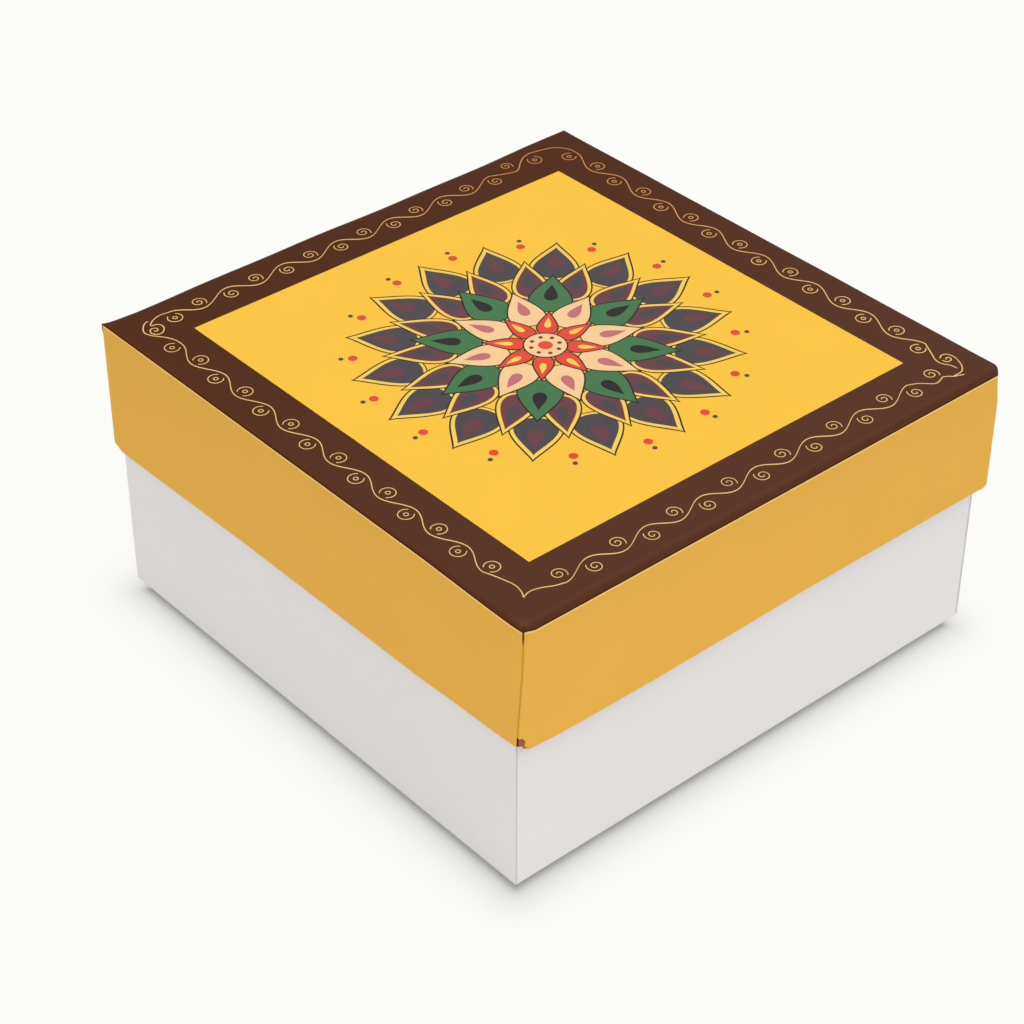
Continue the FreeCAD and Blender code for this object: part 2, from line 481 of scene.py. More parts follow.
def softened_leaf(node_name, piece_name):
    """A copy of a lid leaf, cut finely enough to bend, with its points moved to the soft board's places."""
    shape = bmesh.new()
    shape.from_mesh(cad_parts[node_name].data)
    bmesh.ops.remove_doubles(shape, verts=shape.verts, dist=0.001 * MM)
    flat = math.radians(0.5)
    bmesh.ops.dissolve_limit(shape, angle_limit=flat, verts=shape.verts, edges=shape.edges)
    for axis, (start, end) in enumerate(zip(*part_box(node_name))):
        steps = math.ceil((end - start) / CUT_SPACING)
        places = [start + (end - start) * step / steps for step in range(1, steps)]
        if steps > 2:
            places += [start + inset for inset in END_CUTS] + [end - inset for inset in END_CUTS]
        normal = Vector([1.0 if axis == other else 0.0 for other in range(3)])
        for place in places:
            parts = shape.verts[:] + shape.edges[:] + shape.faces[:]
            plane = {"plane_co": normal * place, "plane_no": normal}
            bmesh.ops.bisect_plane(shape, geom=parts, dist=0.0001 * MM, **plane)
    for vertex in shape.verts:
        point = LEAF_ENDS[node_name](vertex.co) if node_name in LEAF_ENDS else vertex.co
        vertex.co = softened(point)
    mesh = bpy.data.meshes.new(piece_name)
    shape.to_mesh(mesh)
    shape.free()
    mesh.polygons.foreach_set("use_smooth", [True] * len(mesh.polygons))
    mesh.set_sharp_from_angle(angle=SMOOTH_ANGLE)
    return mesh


def place(name, mesh, material_slot, material=None):
    """A piece of the lid from a mesh, with the given material, attached to the lid. Its material slot is not
    used.
    """
    piece = bpy.data.objects.new(name, mesh)
    bpy.context.collection.objects.link(piece)
    if material:
        mesh.materials.clear()
        mesh.materials.append(material)
    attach(piece, "lid")
    return piece


# Finishes

RELIEF = 0.03 * MM


def lid_print():
    """Coated board: a yellow panel in a brown border that runs out over the folds, and yellow walls.

    Painted over the print: a highlight at the foot of each fold, a sheen on the right fold and at the front
    right corner, shade along the bottom edges of the folds and at the top of the front right seam, and walls
    that grow lighter low down and towards the front right.
    """
    finish = Finish("lid_print")
    wobble = finish.noise(3 * MM) * 0.15 * MM
    across = (finish.x - YELLOW_HIGH.x).most(YELLOW_LOW.x - finish.x)
    along = (finish.y - YELLOW_HIGH.y).most(YELLOW_LOW.y - finish.y)
    outside = (across.most(along) + wobble).rise(-0.06 * MM, 0.06 * MM)
    drop = TOP - finish.z
    inset = {
        "front": finish.y + LID_Y,
        "right": LID_X - finish.x,
        "back": LID_Y - finish.y,
        "left": finish.x + LID_X,
    }
    reach = {
        "front": finish.x * 0.005 + finish.x.rise(55 * MM, 95 * MM) * 0.75 * MM + MM,
        "right": finish.y.rise(-LID_Y, 6 * MM - LID_Y) * 1.4 * MM + 2.35 * MM,
        "back": 2.5 * MM,
        "left": 0.5 * MM,
    }
    nearest, limit = inset["front"], reach["front"]
    for side in ("right", "back", "left"):
        closer = nearest.above(inset[side])
        limit = limit + (reach[side] - limit) * closer
        nearest = nearest.least(inset[side])
    over = drop - nearest
    past = over - limit + wobble
    brown = outside * (1.0 - past.rise(-0.05 * MM, 0.05 * MM))
    # Painted shade: the brown darkens along the bottom edge of each fold
    painted_fold_edge_shade = past.rise(-0.75 * MM, -0.3 * MM)
    # Painted highlight: a thin pale line just below the brown, at the foot of each fold
    painted_highlight_line = past.rise(0.0, 0.08 * MM) * (1.0 - past.rise(0.45 * MM, 0.7 * MM))
    gleam = (1.0 - abs(over + 0.7 * MM).rise(0.0, 1.8 * MM)) * finish.x.rise(LID_X - 8 * MM, LID_X - 4 * MM)
    corner = (LID_X - finish.x).most(finish.y + LID_Y)
    gleam = gleam + (1.0 - corner.rise(1.5 * MM, 4.5 * MM)) * (finish.noise(0.9 * MM) + 1.0) * 1.6
    gleam = gleam * brown

    grain = finish.noise(0.5 * MM) * 0.045
    clouds = finish.noise(26 * MM, 3.0)
    wall = drop.rise(0.2 * MM, 0.6 * MM)
    yellow = finish.mix(wall, LID_YELLOW, WALL_YELLOW)
    yellow = finish.mix(painted_highlight_line, yellow, PAINTED_FOLD_HIGHLIGHT)
    yellow = finish.mix(finish.specks(34 * MM, 0.5 * MM) * wall * 0.6, yellow, LID_BROWN)
    brown_ink_and_fold_shade = finish.mix(finish.x.rise(-LID_X, LID_X), LID_BROWN, RIGHT_BROWN)
    brown_ink_and_fold_shade = finish.mix(past.rise(-3 * MM, -1.2 * MM) * 0.5, brown_ink_and_fold_shade, WARM_BROWN)
    brown_ink_and_fold_shade = finish.mix(painted_fold_edge_shade, brown_ink_and_fold_shade, FOLD_SHADE_BROWN)
    # Painted light: the walls grow lighter low down and towards the front right corner
    painted_light_low_down = drop.rise(0.0, 30 * MM) * 0.03 * wall
    painted_light_front_right = ((finish.x - finish.y) / (LID_X + LID_Y) - 0.5) * 0.035 * wall
    # The tone adds random clouds and grain to the painted sheen and the painted light on the walls
    tone = clouds * 0.05 + grain + gleam * 0.14 + painted_light_low_down + painted_light_front_right
    print_and_painted_light = finish.shade(finish.mix(brown, yellow, brown_ink_and_fold_shade), tone)

    inward = (finish.facing_z * -1.0).rise(0.5, 0.7) * finish.z.rise(FOLD_END, FOLD_END + 0.5 * MM)
    cut_end = abs(finish.facing_y).rise(0.8, 0.9) * abs(finish.y).rise(LID_Y - 1.9 * MM, LID_Y - 1.8 * MM)
    covering = abs(finish.x).rise(LID_X - 1.6 * MM, LID_X - 1.5 * MM) * drop.rise(3.2 * MM, 3.8 * MM)
    colour = finish.mix(inward, print_and_painted_light, BOARD_BACK)
    # Painted shade: the top of the open seam at front right, on the cut end of the covering wall
    painted_seam_shade_top = finish.z.rise(FOLD_END - 7 * MM, FOLD_END - 3 * MM)
    painted_seam_shade_top = painted_seam_shade_top * (1.0 - finish.z.rise(FOLD_END - 2 * MM, FOLD_END - MM))
    front_right = finish.x.rise(LID_X - 1.2 * MM, LID_X - 1.1 * MM) * (1.0 - finish.y.rise(-MM, MM))
    raw_edge_and_seam_shade = finish.mix(painted_seam_shade_top * front_right, RAW_EDGE, SEAM_SHADE_TOP)
    colour = finish.mix(cut_end * covering, colour, raw_edge_and_seam_shade)
    roughness = finish.noise(9 * MM, 3.0) * 0.14 + 0.46
    relief = finish.paper_grain() + finish.noise(11 * MM) * 3.0
    return finish.surface(colour, roughness, relief, RELIEF, 0.03)


def tab_print():
    """The corner tabs: yellow like the walls outside, brown at their top, and bare inside.

    The front right one is brown at the rim too. The bends of the right-hand ones are the bottom of an open
    seam, with painted shade that darkens towards its top."""
    finish = Finish("lid_tab_print")
    inner = (finish.x * finish.facing_x * -1.0).rise(0.07, 0.08)
    rim_share = 1.0 - finish.z.rise(LID_RIM + 6.2 * MM, LID_RIM + 6.5 * MM)
    front = 1.0 - finish.y.rise(-MM, MM)
    drawn = finish.z.rise(DRAW_LOW, DRAW_HIGH) * DRAW
    bend = (abs(finish.y) + drawn).rise(LID_Y - 1.2 * MM, LID_Y - 0.9 * MM)
    crease = abs(finish.y).rise(LID_Y - 0.35 * MM, LID_Y - 0.12 * MM)
    grain = finish.noise(0.5 * MM) * 0.08 + finish.noise(7 * MM) * 0.12
    # Painted shade: the seam over the right-hand bends, darker towards its top
    seam = finish.mix(finish.z.rise(FOLD_END - 7 * MM, FOLD_END - 3 * MM), SEAM_SHADE_LOW, SEAM_SHADE_TOP)
    print_and_painted_light = finish.mix(bend * finish.x.rise(-MM, MM), WALL_YELLOW, seam)
    rim_brown = finish.mix(crease, TAB_BROWN, TAB_SHADE)
    print_and_painted_light = finish.mix(rim_share * front * finish.x.rise(-MM, MM), print_and_painted_light, rim_brown)
    print_and_painted_light = finish.mix(finish.z.rise(FOLD_END - 0.9 * MM, FOLD_END - 0.6 * MM), print_and_painted_light, LID_BROWN)
    colour = finish.shade(finish.mix(inner, print_and_painted_light, BOARD_BACK), grain)
    roughness = finish.noise(5 * MM, 3.0) * 0.14 + 0.52
    return finish.surface(colour, roughness, finish.paper_grain(), RELIEF, 0.1)


def lining_board():
    """The lid's linings: the wall's yellow laps over the rim, then bare white board."""
    finish = Finish("lid_lining_board")
    edge = finish.z + finish.noise(4 * MM) * 0.3 * MM
    bare = edge.rise(LID_RIM + 11.9 * MM, LID_RIM + 12.1 * MM)
    grain = finish.noise(0.6 * MM) * 0.05 + finish.noise(18 * MM, 3.0) * 0.05
    colour = finish.mix(bare, WALL_YELLOW, BASE_WHITE)
    colour = finish.mix(finish.specks(2.6 * MM, 0.16 * MM) * bare * 0.35, colour, FLECK)
    roughness = finish.noise(9 * MM, 3.0) * 0.12 + 0.56
    return finish.surface(finish.shade(colour, grain), roughness, finish.paper_grain(), RELIEF, 0.22)


def white_board_with_painted_light(name, tone, fleck_share):
    """White board, faintly cloudy and flecked, with painted light: lighter low down, a painted highlight at
    its bottom crease, and painted shade of the corner slits on the cut ends.
    """
    finish = Finish(name)
    # Painted light: the board grows lighter low down; the grain below carries it
    painted_light_low_down = (1.0 - finish.z.rise(0.0, 40 * MM)) * 0.025
    grain = finish.noise(0.6 * MM) * 0.04 + finish.noise(22 * MM, 3.0) * 0.04 + painted_light_low_down
    # Painted highlight: the bottom crease brightened towards white
    crease = 1.0 - finish.z.rise(0.5 * MM, 1.3 * MM)
    colour = finish.mix(crease * 0.6, tone, srgb(255, 255, 255))
    colour = finish.mix(finish.specks(3.1 * MM, 0.15 * MM) * fleck_share, colour, FLECK)
    # Painted shade: the slit at each corner, in grey on the cut end
    cut_end = abs(finish.facing_x).rise(0.8, 0.9)
    along = abs(finish.y).rise(BASE_HALF - 0.45 * MM, BASE_HALF - 0.35 * MM)
    outer = abs(finish.x).rise(BASE_HALF - 0.05 * MM, BASE_HALF - 0.02 * MM)
    colour = finish.mix(cut_end * along * outer, colour, BASE_SEAM_SHADE)
    roughness = finish.noise(9 * MM, 3.0) * 0.12 + 0.5
    relief = finish.paper_grain() + finish.noise(13 * MM) * 3.0
    return finish.surface(finish.shade(colour, grain), roughness, relief, RELIEF, 0.25)


def ink(name, colour, worn_colour):
    """A printing ink, uneven where it took to the board and more worn towards the back left corner."""
    finish = Finish(name)
    corner = (finish.y - finish.x).rise(0.0, LID_X + LID_Y)
    patches = finish.noise(8 * MM, 3.0).rise(-0.1, 0.35) * 0.5 * (1.0 - corner) + corner
    grain = finish.noise(0.4 * MM) * 0.12
    tinted = finish.shade(finish.mix(patches, colour, worn_colour), grain)
    roughness = finish.noise(6 * MM, 3.0) * 0.14 + 0.45
    return finish.surface(tinted, roughness, finish.paper_grain(), 0.02 * MM, 0.22)


# The gold vine in the border

STEM_WIDTH, CURL_WIDTH = 0.5 * MM, 0.42 * MM
INK_HEIGHT = 0.07 * MM
SPIRAL_RADIUS, RING_RADIUS = 2.8 * MM, 2.5 * MM
CURL_TURNS = 1.6
BEND_POINTS = 18  # points of the stem from one bend to the next


def spiral_curl():
    """A curl that winds in to its middle, its open end towards the stem below it."""
    tree = GeometryTree("spiral_curl")
    radius, width = tree.input("Radius"), tree.input("Line width")
    winding = {"Resolution": 20, "Rotations": CURL_TURNS, "Height": 0.0, "Reverse": True}
    ends = {"Start Radius": radius, "End Radius": radius * 0.12}
    spiral = tree.node("GeometryNodeCurveSpiral", None, winding | ends)
    turned = {"Geometry": tree.ribbon(spiral, width, INK_HEIGHT), "Rotation": (0, 0, math.radians(-50))}
    tree.node("NodeGroupOutput", None, {"Geometry": tree.node("GeometryNodeTransform", None, turned)})
    return tree


def ringed_curl():
    """A small ring inside a larger one that is open towards the stem below it."""
    tree = GeometryTree("ringed_curl")
    radius, width = tree.input("Radius"), tree.input("Line width")
    gap = math.radians(72)
    sweep = {"Start Angle": gap / 2 - math.pi / 2, "Sweep Angle": 2 * math.pi - gap}
    arc = {"Resolution": 26, "Radius": radius} | sweep
    outer = tree.node("GeometryNodeCurveArc", {"mode": "RADIUS"}, arc)
    inner = tree.node("GeometryNodeCurvePrimitiveCircle", None, {"Resolution": 12, "Radius": radius * 0.3})
    rings = tree.ribbon(tree.join(outer, inner), width, INK_HEIGHT)
    tree.node("NodeGroupOutput", None, {"Geometry": rings})
    return tree


def vine_run():
    """The stem along one side, with a curl in each of its bends, made along X and turned to its side."""
    tree = GeometryTree("vine_run")
    curl, end_curl = tree.input("Curl", "Geometry"), tree.input("End curl", "Geometry")
    start, spacing, bends = tree.input("Start"), tree.input("Spacing"), tree.input("Bends", "Int")
    middle, swing, slant = tree.input("Middle"), tree.input("Swing"), tree.input("Slant")
    width = tree.input("Line width")
    weight, lift, lean = tree.input("Stroke weight"), tree.input("Curl lift"), tree.input("Curl lean")
    first_bend, first_curl = tree.input("First bend", "Int"), tree.input("First curl", "Int")
    turn = tree.input("Turn")

    ends = {"Start": tree.vector(start + spacing * first_bend), "End": tree.vector(start + spacing * bends)}
    line = tree.node("GeometryNodeCurvePrimitiveLine", None, ends)
    points = {"Curve": line, "Count": bends * BEND_POINTS + 1}
    stem = tree.node("GeometryNodeResampleCurve", None, points)
    along = tree.split(tree.node("GeometryNodeInputPosition"))[0]
    phase = (along - start) / spacing * math.pi
    cosine = phase.maths("COSINE", phase)
    wave = {"Geometry": stem, "Position": tree.vector(along - slant * cosine, middle - swing * cosine)}
    stem = tree.node("GeometryNodeSetPosition", None, wave)
    stroke = tree.ribbon(stem, width, INK_HEIGHT, weight * phase.maths("SINE", phase) + 1.0)

    number = tree.node("GeometryNodeInputIndex")
    odd = number % 2.0
    inward = 1.0 - odd * 2.0
    row = {"Count": bends + 1, "Start Location": tree.vector(start, middle), "Offset": tree.vector(spacing)}
    spots = tree.node("GeometryNodeMeshLine", None, row)
    offset = tree.vector(lean * inward, lift * inward)
    spots = tree.node("GeometryNodeSetPosition", None, {"Geometry": spots, "Offset": offset})
    shown = number.above(first_curl - 0.5)
    inner = (bends - number).above(0.5)
    curls = tree.turned_copies(curl, spots, odd * math.pi, shown * inner)
    end_curls = tree.turned_copies(end_curl, spots, odd * math.pi, shown * (1.0 - inner))
    turned = {"Geometry": tree.join(stroke, curls, end_curls), "Rotation": tree.vector(0.0, 0.0, turn)}
    tree.node("NodeGroupOutput", None, {"Geometry": tree.node("GeometryNodeTransform", None, turned)})
    return tree


# The vine on each side in millimetres, along the side as seen from outside: where its bends are counted
# from, their spacing, the line that the stem swings about, its swing and slant, and how its curls lie
VINE_SIZES = ("Start", "Spacing", "Middle", "Swing", "Slant", "Curl lift", "Curl lean")
VINE_SIDES = {
    "front": (-88.4, 11.86, -91.25, 2.25, 0.1, 1.35, 0.0),
    "right": (-78.2, 11.33, -94.6, 2.35, 0.45, 2.05, 0.4),
    "back": (-80.3, 11.95, -89.5, 2.45, -0.35, 1.45, 0.0),
    "left": (-79.4, 11.5, -92.1, 2.7, 0.45, 1.4, -0.1),
}
VINE_BENDS = {"front": (1, 14), "right": (0, 13), "back": (0, 14), "left": (2, 14)}
VINE_CURLS = {"front": "ringed", "right": "spiral", "back": "ringed", "left": "spiral"}
VINE_END_CURLS = {"front": "ringed", "right": "spiral", "back": "ringed", "left": "ringed"}
LINE_SHARE = {"front": 0.74, "right": 0.7, "back": 0.84, "left": 0.8}  # of the full line widths
CORNER_SHARE = 0.8
STROKE_WEIGHT = {"front": 0.12, "right": -0.3, "back": 0.12, "left": -0.3}
SIDE_TURN = {"front": 0.0, "right": math.pi / 2, "back": math.pi, "left": -math.pi / 2}

# Free strokes that lead the vine round the corners, in millimetres on the lid
CORNER_STROKES = (
    # front right: the two runs meet in a point
    ((77.6, -93.5), (82.4, -91.9), (88.0, -90.6), (91.7, -91.1), (94.2, -92.4)),
    ((94.2, -92.4), (93.4, -90.2), (93.4, -88.0), (94.3, -85.3), (95.9, -82.1), (96.95, -78.65)),
    # back left: one round turn, and a bend before the left run
    ((-87.4, 91.95), (-90.5, 91.8), (-93.6, 90.2), (-96.0, 87.2), (-97.1, 83.4), (-98.1, 79.0)),
    (
        (-98.1, 79.0), (-97.2, 75.2), (-94.7, 71.5), (-92.0, 68.4),
        (-91.3, 65.8), (-92.6, 61.8), (-94.8, 56.85),
    ),
    # front left: the left run ends short, the front run starts in a hook, and a curl winds in beside it
    ((-94.8, -81.2), (-95.2, -84.5), (-94.3, -87.5), (-92.9, -89.5), (-91.8, -90.5)),
    ((-94.6, -89.6), (-94.2, -91.0), (-92.75, -92.6), (-91.0, -93.8), (-89.0, -94.3), (-86.6, -93.4)),
    ((-86.6, -93.4), (-82.75, -90.6), (-79.5, -89.2), (-76.45, -89.0)),
    (
        (-91.6, -90.2), (-91.2, -88.4), (-89.6, -87.4), (-87.6, -88.0),
        (-86.0, -89.8), (-86.2, -91.8), (-88.0, -92.8),
    ),
    ((-88.0, -92.8), (-89.8, -91.9), (-89.9, -90.3), (-88.7, -89.7), (-87.9, -90.6), (-88.5, -91.4)),
    # back right: the right run ends in a hump, then a hook that winds in, and the back run trails off
    ((92.25, 69.55), (93.9, 73.0), (96.7, 76.1), (97.5, 77.7), (97.2, 79.3), (96.4, 81.7)),
    ((96.4, 81.7), (97.3, 83.3), (98.6, 84.9), (99.8, 88.0)),
    (
        (98.3, 84.9), (98.2, 88.5), (96.2, 91.0), (93.1, 92.6),
        (90.5, 93.2), (88.3, 92.4), (87.8, 90.6), (88.7, 89.1),
    ),
    ((90.0, 88.8), (91.3, 89.1), (91.8, 90.3), (91.3, 91.5), (90.2, 91.6), (89.8, 90.7), (90.5, 90.1)),
    ((79.9, 91.95), (84.9, 89.2), (87.5, 87.7), (89.7, 87.0), (91.6, 87.4), (93.6, 88.6), (96.0, 88.9)),
)

# Single curls beside those strokes: kind, place and radius in millimetres, and turn in degrees
CORNER_CURLS = (
    ("spiral", (92.9, 79.9), 2.9, 90.0),
    ("ringed", (-93.2, 77.0), 2.6, -90.0),
    ("spiral", (-96.3, 66.2), 2.5, 90.0),
)


def stroke_lines():
    """The corner strokes as a mesh of plain lines through their points."""
    points = [Vector((x * MM, y * MM, 0.0)) for stroke in CORNER_STROKES for x, y in stroke]
    edges = []
    first = 0
    for stroke in CORNER_STROKES:
        edges += [(first + step, first + step + 1) for step in range(len(stroke) - 1)]
        first += len(stroke)
    mesh = bpy.data.meshes.new("corner_strokes")
    mesh.from_pydata(points, edges, [])
    return mesh


def lid_vine(material):
    """The whole vine: four runs and the corner strokes with their curls."""
    tree = GeometryTree("lid_vine")
    strokes = tree.input("Strokes", "Geometry")
    width, curl_width = tree.input("Stem width"), tree.input("Curl width")
    spiral_radius, ring_radius = tree.input("Spiral radius"), tree.input("Ring radius")
    kinds = {"spiral": spiral_curl(), "ringed": ringed_curl()}
    radii = {"spiral": spiral_radius, "ringed": ring_radius}
    run = vine_run()
    parts = []
    for side, sizes in VINE_SIDES.items():
        first, last = VINE_BENDS[side]
        values = {name: size * MM for name, size in zip(VINE_SIZES, sizes)}
        values |= {"First bend": first, "First curl": first, "Bends": last, "Turn": SIDE_TURN[side]}
        curl_line = curl_width * LINE_SHARE[side]
        for name, kind in (("Curl", VINE_CURLS[side]), ("End curl", VINE_END_CURLS[side])):
            values[name] = tree.use(kinds[kind], Radius=radii[kind], Line_width=curl_line)
        values |= {"Line width": width * LINE_SHARE[side], "Stroke weight": STROKE_WEIGHT[side]}
        parts.append(tree.node("GeometryNodeGroup", {"node_tree": run.tree}, values))
    for kind, (x, y), size, turn in CORNER_CURLS:
        curl = tree.use(kinds[kind], Radius=size * MM, Line_width=curl_width * CORNER_SHARE)
        spot = {"Translation": (x * MM, y * MM, 0.0), "Rotation": (0.0, 0.0, math.radians(turn))}
        parts.append(tree.node("GeometryNodeTransform", None, {"Geometry": curl} | spot))
    curve = tree.node("GeometryNodeMeshToCurve", None, {"Mesh": strokes})
    smooth = tree.node("GeometryNodeCurveSplineType", {"spline_type": "CATMULL_ROM"}, {"Curve": curve})
    fine = tree.node("GeometryNodeSetSplineResolution", None, {"Geometry": smooth, "Resolution": 8})
    parts.append(tree.ribbon(fine, width * CORNER_SHARE, INK_HEIGHT))
    raised = {"Geometry": tree.join(*parts), "Translation": (0.0, 0.0, TOP)}
    tree.end(tree.node("GeometryNodeTransform", None, raised), material)
    values = {"Stem width": STEM_WIDTH, "Curl width": CURL_WIDTH}
    values |= {"Spiral radius": SPIRAL_RADIUS, "Ring radius": RING_RADIUS}
    return tree.mesh("lid_vine_print", stroke_lines(), values)


# The flower in the middle of the lid

FILM_FOOT = 0.02 * MM  # how far each film of ink reaches into the board
FILM_STEP = 0.005 * MM  # from one film to the next above it
PETAL_ROOT, PETAL_POINT = 0.5, 1.25  # powers that round a petal's root and draw out its tip
PETAL_WIDEST = PETAL_ROOT / (PETAL_ROOT + PETAL_POINT)
PETAL_FULL = PETAL_WIDEST**PETAL_ROOT * (1 - PETAL_WIDEST) ** PETAL_POINT
OUTLINE = 0.5 * MM
INNER_LINE = 1.15 * MM
HEART_START, HEART_LENGTH, HEART_WIDTH = 0.3, 0.42, 0.3  # shares of the petal's own sizes

# Rings of petals from the outside in: how many, half steps turned, root, length and half width in
# millimetres, then the inks of the outline, the line inside it, the petal and its heart
PETAL_RINGS = (
    (16, 0, (40.0, 25.0, 8.8), ("black", "yellow", "charcoal", "plum")),
    (16, 1, (28.0, 25.0, 6.6), ("black", "yellow", "plum", "charcoal")),
    (8, 0, (20.0, 24.0, 7.6), ("black", None, "green", "black")),
    (8, 1, (12.0, 22.0, 6.5), ("black", None, "peach", "pink")),
    (8, 0, (6.0, 15.0, 3.7), ("black", None, "red", "yellow")),
)

# Rings of dots: how many, half steps turned, ring radius and dot radius in millimetres, and ink
DOT_RINGS = (
    (16, 1, (62.0, 1.5), "red"),
    (16, 1, (65.8, 0.8), "charcoal"),
    (1, 0, (0.0, 7.4), "black"),
    (1, 0, (0.0, 6.9), "peach"),
    (8, 1, (4.8, 0.75), "plum"),
    (1, 0, (0.0, 2.4), "red"),
)


def petal_ring():
    """A ring of flat pointed petals about the middle."""
    tree = GeometryTree("petal_ring")
    petals, turn = tree.input("Petals", "Int"), tree.input("Turn")
    root, length, half_width = tree.input("Root"), tree.input("Length"), tree.input("Half width")
    height, material = tree.input("Height"), tree.input("Ink", "Material")
    circle = tree.node("GeometryNodeCurvePrimitiveCircle", None, {"Resolution": 40, "Radius": 1.0})
    x, y = tree.split(tree.node("GeometryNodeInputPosition"))[:2]
    share = ((x + 1.0) / 2.0).most(0.0)
    rest = ((1.0 - x) / 2.0).most(0.0)
    bulge = share**PETAL_ROOT * rest**PETAL_POINT / PETAL_FULL
    across = y.maths("SIGN", y) * half_width * bulge
    outline = {"Geometry": circle, "Position": tree.vector(root + length * share, across)}
    petal = tree.film(tree.node("GeometryNodeSetPosition", None, outline), height)
    copies = tree.turned_copies(petal, *tree.ring_places(petals, turn))
    return tree.end(copies, material)


def dot_ring():
    """A ring of flat round dots about the middle."""
    tree = GeometryTree("dot_ring")
    dots, turn = tree.input("Dots", "Int"), tree.input("Turn")
    ring, radius = tree.input("Ring radius"), tree.input("Dot radius")
    height, material = tree.input("Height"), tree.input("Ink", "Material")
    circle = tree.node("GeometryNodeCurvePrimitiveCircle", None, {"Resolution": 28, "Radius": radius})
    placed = {"Geometry": circle, "Translation": tree.vector(ring)}
    dot = tree.film(tree.node("GeometryNodeTransform", None, placed), height)
    copies = tree.turned_copies(dot, *tree.ring_places(dots, turn))
    return tree.end(copies, material)


def lid_flower(inks):
    """The flower: films of ink, each a little higher than the one under it."""
    tree = GeometryTree("lid_flower")
    centre = tree.input("Centre", "Vector")
    petals, dots = petal_ring(), dot_ring()
    parts = []

    def next_film(group, **values):
        height = FILM_FOOT + FILM_STEP * (len(parts) + 1)
        parts.append(tree.use(group, Height=height, **values))

    for count, half_steps, (root, length, half_width), colours in PETAL_RINGS:
        turn = half_steps * math.pi / count
        field = OUTLINE + INNER_LINE if colours[1] else OUTLINE
        for colour, inset in zip(colours, (0.0, OUTLINE, field)):
            if colour:
                next_film(
                    petals,
                    Petals=count,
                    Turn=turn,
                    Root=root * MM + 0.8 * inset,
                    Length=length * MM - 3.0 * inset,
                    Half_width=half_width * MM - inset,
                    Ink=inks[colour],
                )
        next_film(
            petals,
            Petals=count,
            Turn=turn,
            Root=(root + HEART_START * length) * MM,
            Length=HEART_LENGTH * length * MM,
            Half_width=HEART_WIDTH * half_width * MM,
            Ink=inks[colours[3]],
        )
    for count, half_steps, (ring, radius), colour in DOT_RINGS:
        turn = half_steps * math.pi / count
        sizes = {"Ring_radius": ring * MM, "Dot_radius": radius * MM}
        next_film(dots, Dots=count, Turn=turn, Ink=inks[colour], **sizes)
    placed = {"Geometry": tree.join(*parts), "Translation": centre}
    flower = tree.node("GeometryNodeTransform", None, placed)
    tree.node("NodeGroupOutput", None, {"Geometry": flower})
    middle = (*YELLOW_MIDDLE, TOP - FILM_FOOT)
    return tree.mesh("lid_flower_print", bpy.data.meshes.new("no_source"), {"Centre": middle})


def softened_print(mesh):
    """A print's mesh laid on the soft board."""
    for vertex in mesh.vertices:
        vertex.co = softened(vertex.co)
    return mesh


# Dressing the lid and the base

lid_finishes = {
    "panel": ("lid_top_print", lid_print()),
    "tab": ("lid_tab_print", tab_print()),
    "lining": ("lid_lining_board", lining_board()),
}
lid_finishes["wall"] = ("lid_wall_print", lid_finishes["panel"][1])
base_walls = white_board_with_painted_light("base_board", BASE_WHITE, 0.25)
base_floor = white_board_with_painted_light("base_floor_board", BOARD_BACK, 0.6)
for node_name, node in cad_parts.items():
    kind = node_name.split("_")[-1]
    if node_name.startswith("lid"):
        slot_name, material = lid_finishes[kind]
        leaf = place(node_name + "_soft", softened_leaf(node_name, node_name + "_soft"), slot_name, material)
        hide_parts(node_name)
    else:
        node.data.materials.clear()
        node.data.materials.append(base_floor if kind == "panel" else base_walls)

place("lid_vine_print", softened_print(lid_vine(ink("gold_ink", GOLD_INK, COPPER_INK))), "lid_top_print")
flower_inks = {name: ink(name + "_ink", colour, worn(colour)) for name, colour in FLOWER_INKS.items()}
place("lid_flower_print", softened_print(lid_flower(flower_inks)), "lid_top_print")


# Floor, light and camera

FLOOR_WHITE, FLOOR_GREY = (0.974, 0.974, 0.95, 1.0), (0.72, 0.72, 0.71, 1.0)
FLOOR_REACH = 6.0
FLOOR_LIT_SHARE = 0.1
SHADE_SHIFT = 4 * MM  # the shade on the floor lies towards the front and the right
SHADE_HALF = BASE_HALF - SHADE_SHIFT
WIDE_SHADE, WIDE_FADE = 0.5, 6 * MM
CLOSE_SHADE, CLOSE_FADE = 0.2, 2 * MM
SKY_STRENGTH = 0.79
LIGHT_STRENGTH = 0.75
LIGHT_ANGLE = math.radians(70)
LIGHT_FROM = Vector((0.42, 0.03, 1.0))


def floor_paper():
    """Pale paper that the camera sees as plain white, shaded close to the base, and light sees as grey."""
    finish = Finish("floor_paper")
    paper = finish.node("ShaderNodeBsdfDiffuse", None, {"Color": FLOOR_GREY})
    across = (abs(finish.x - SHADE_SHIFT) - SHADE_HALF).most(0.0)
    along = (abs(finish.y + SHADE_SHIFT) - SHADE_HALF).most(0.0)
    distance = (across**2.0 + along**2.0) ** 0.5
    wide = (distance / -WIDE_FADE).exponent() * WIDE_SHADE
    close = ((distance / CLOSE_FADE) ** 2.0 * -1.0).exponent() * CLOSE_SHADE
    glow = finish.mix(wide + close, FLOOR_WHITE, (0.0, 0.0, 0.0, 1.0))
    plain = finish.node("ShaderNodeEmission", None, {"Color": glow, "Strength": 1.0})
    lit = finish.node("ShaderNodeBsdfDiffuse", None, {"Color": FLOOR_WHITE})
    shown = finish.node("ShaderNodeMixShader", None, {0: FLOOR_LIT_SHARE, 1: plain, 2: lit})
    kinds = ("Camera", "Glossy", "Transmission")
    camera, glossy, clear = (finish.node("ShaderNodeLightPath", output=f"Is {kind} Ray") for kind in kinds)
    seen = camera.most(glossy).most(clear)
    shader = finish.node("ShaderNodeMixShader", None, {0: seen, 1: paper, 2: shown})
    finish.node("ShaderNodeOutputMaterial", None, {"Surface": shader})
    return finish.material


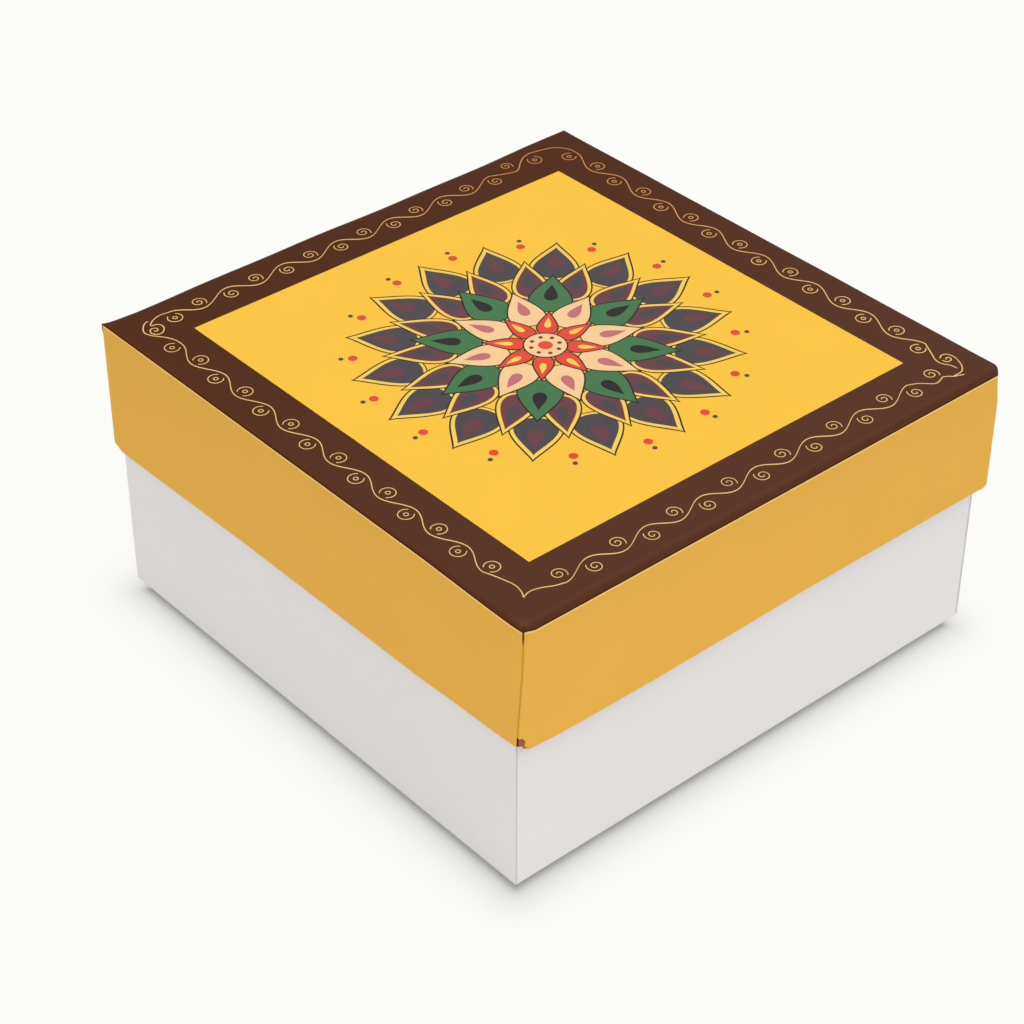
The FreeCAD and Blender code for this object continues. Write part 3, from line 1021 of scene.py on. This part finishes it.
def studio():
    """A pale floor that runs out of sight, an even sky and one broad soft light from above."""
    mesh = bpy.data.meshes.new("floor")
    corners = [(x * FLOOR_REACH, y * FLOOR_REACH, 0.0) for x, y in ((-1, -1), (1, -1), (1, 1), (-1, 1))]
    mesh.from_pydata(corners, [], [(0, 1, 2, 3)])
    mesh.materials.append(floor_paper())
    floor = bpy.data.objects.new("floor", mesh)
    bpy.context.collection.objects.link(floor)

    world = bpy.data.worlds.new("even_sky")
    world.use_nodes = True
    sky = world.node_tree.nodes["Background"]
    sky.inputs["Color"].default_value = (1.0, 1.0, 1.0, 1.0)
    sky.inputs["Strength"].default_value = SKY_STRENGTH
    bpy.context.scene.world = world

    lamp = bpy.data.lights.new("broad_light", "SUN")
    lamp.energy = LIGHT_STRENGTH
    lamp.angle = LIGHT_ANGLE
    light = bpy.data.objects.new("broad_light", lamp)
    light.rotation_euler = LIGHT_FROM.to_track_quat("Z", "Y").to_euler()
    bpy.context.collection.objects.link(light)


CAMERA_AZIMUTH, CAMERA_ELEVATION, CAMERA_ROLL = (math.radians(angle) for angle in (48.895, 36.495, 0.148))
CAMERA_TARGET = Vector((-11.58 * MM, -4.51 * MM, 32.06 * MM))
CAMERA_DISTANCE = 897.5 * MM
CAMERA_LENS, CAMERA_SENSOR = 92.94, 36.0  # in millimetres, as Blender takes them


def photograph():
    """The camera, where the photograph was taken from."""
    level = math.cos(CAMERA_ELEVATION)
    back = Vector(
        (
            math.sin(CAMERA_AZIMUTH) * level,
            -math.cos(CAMERA_AZIMUTH) * level,
            math.sin(CAMERA_ELEVATION),
        )
    )
    data = bpy.data.cameras.new("camera")
    data.lens = CAMERA_LENS
    data.sensor_width = CAMERA_SENSOR
    camera = bpy.data.objects.new("camera", data)
    camera.location = CAMERA_TARGET + back * CAMERA_DISTANCE
    camera.rotation_mode = "QUATERNION"
    roll = Quaternion((0, 0, 1), CAMERA_ROLL)
    camera.rotation_quaternion = (-back).to_track_quat("-Z", "Y") @ roll
    bpy.context.collection.objects.link(camera)
    bpy.context.scene.camera = camera


studio()
photograph()
bpy.context.scene.view_settings.view_transform = "Standard"
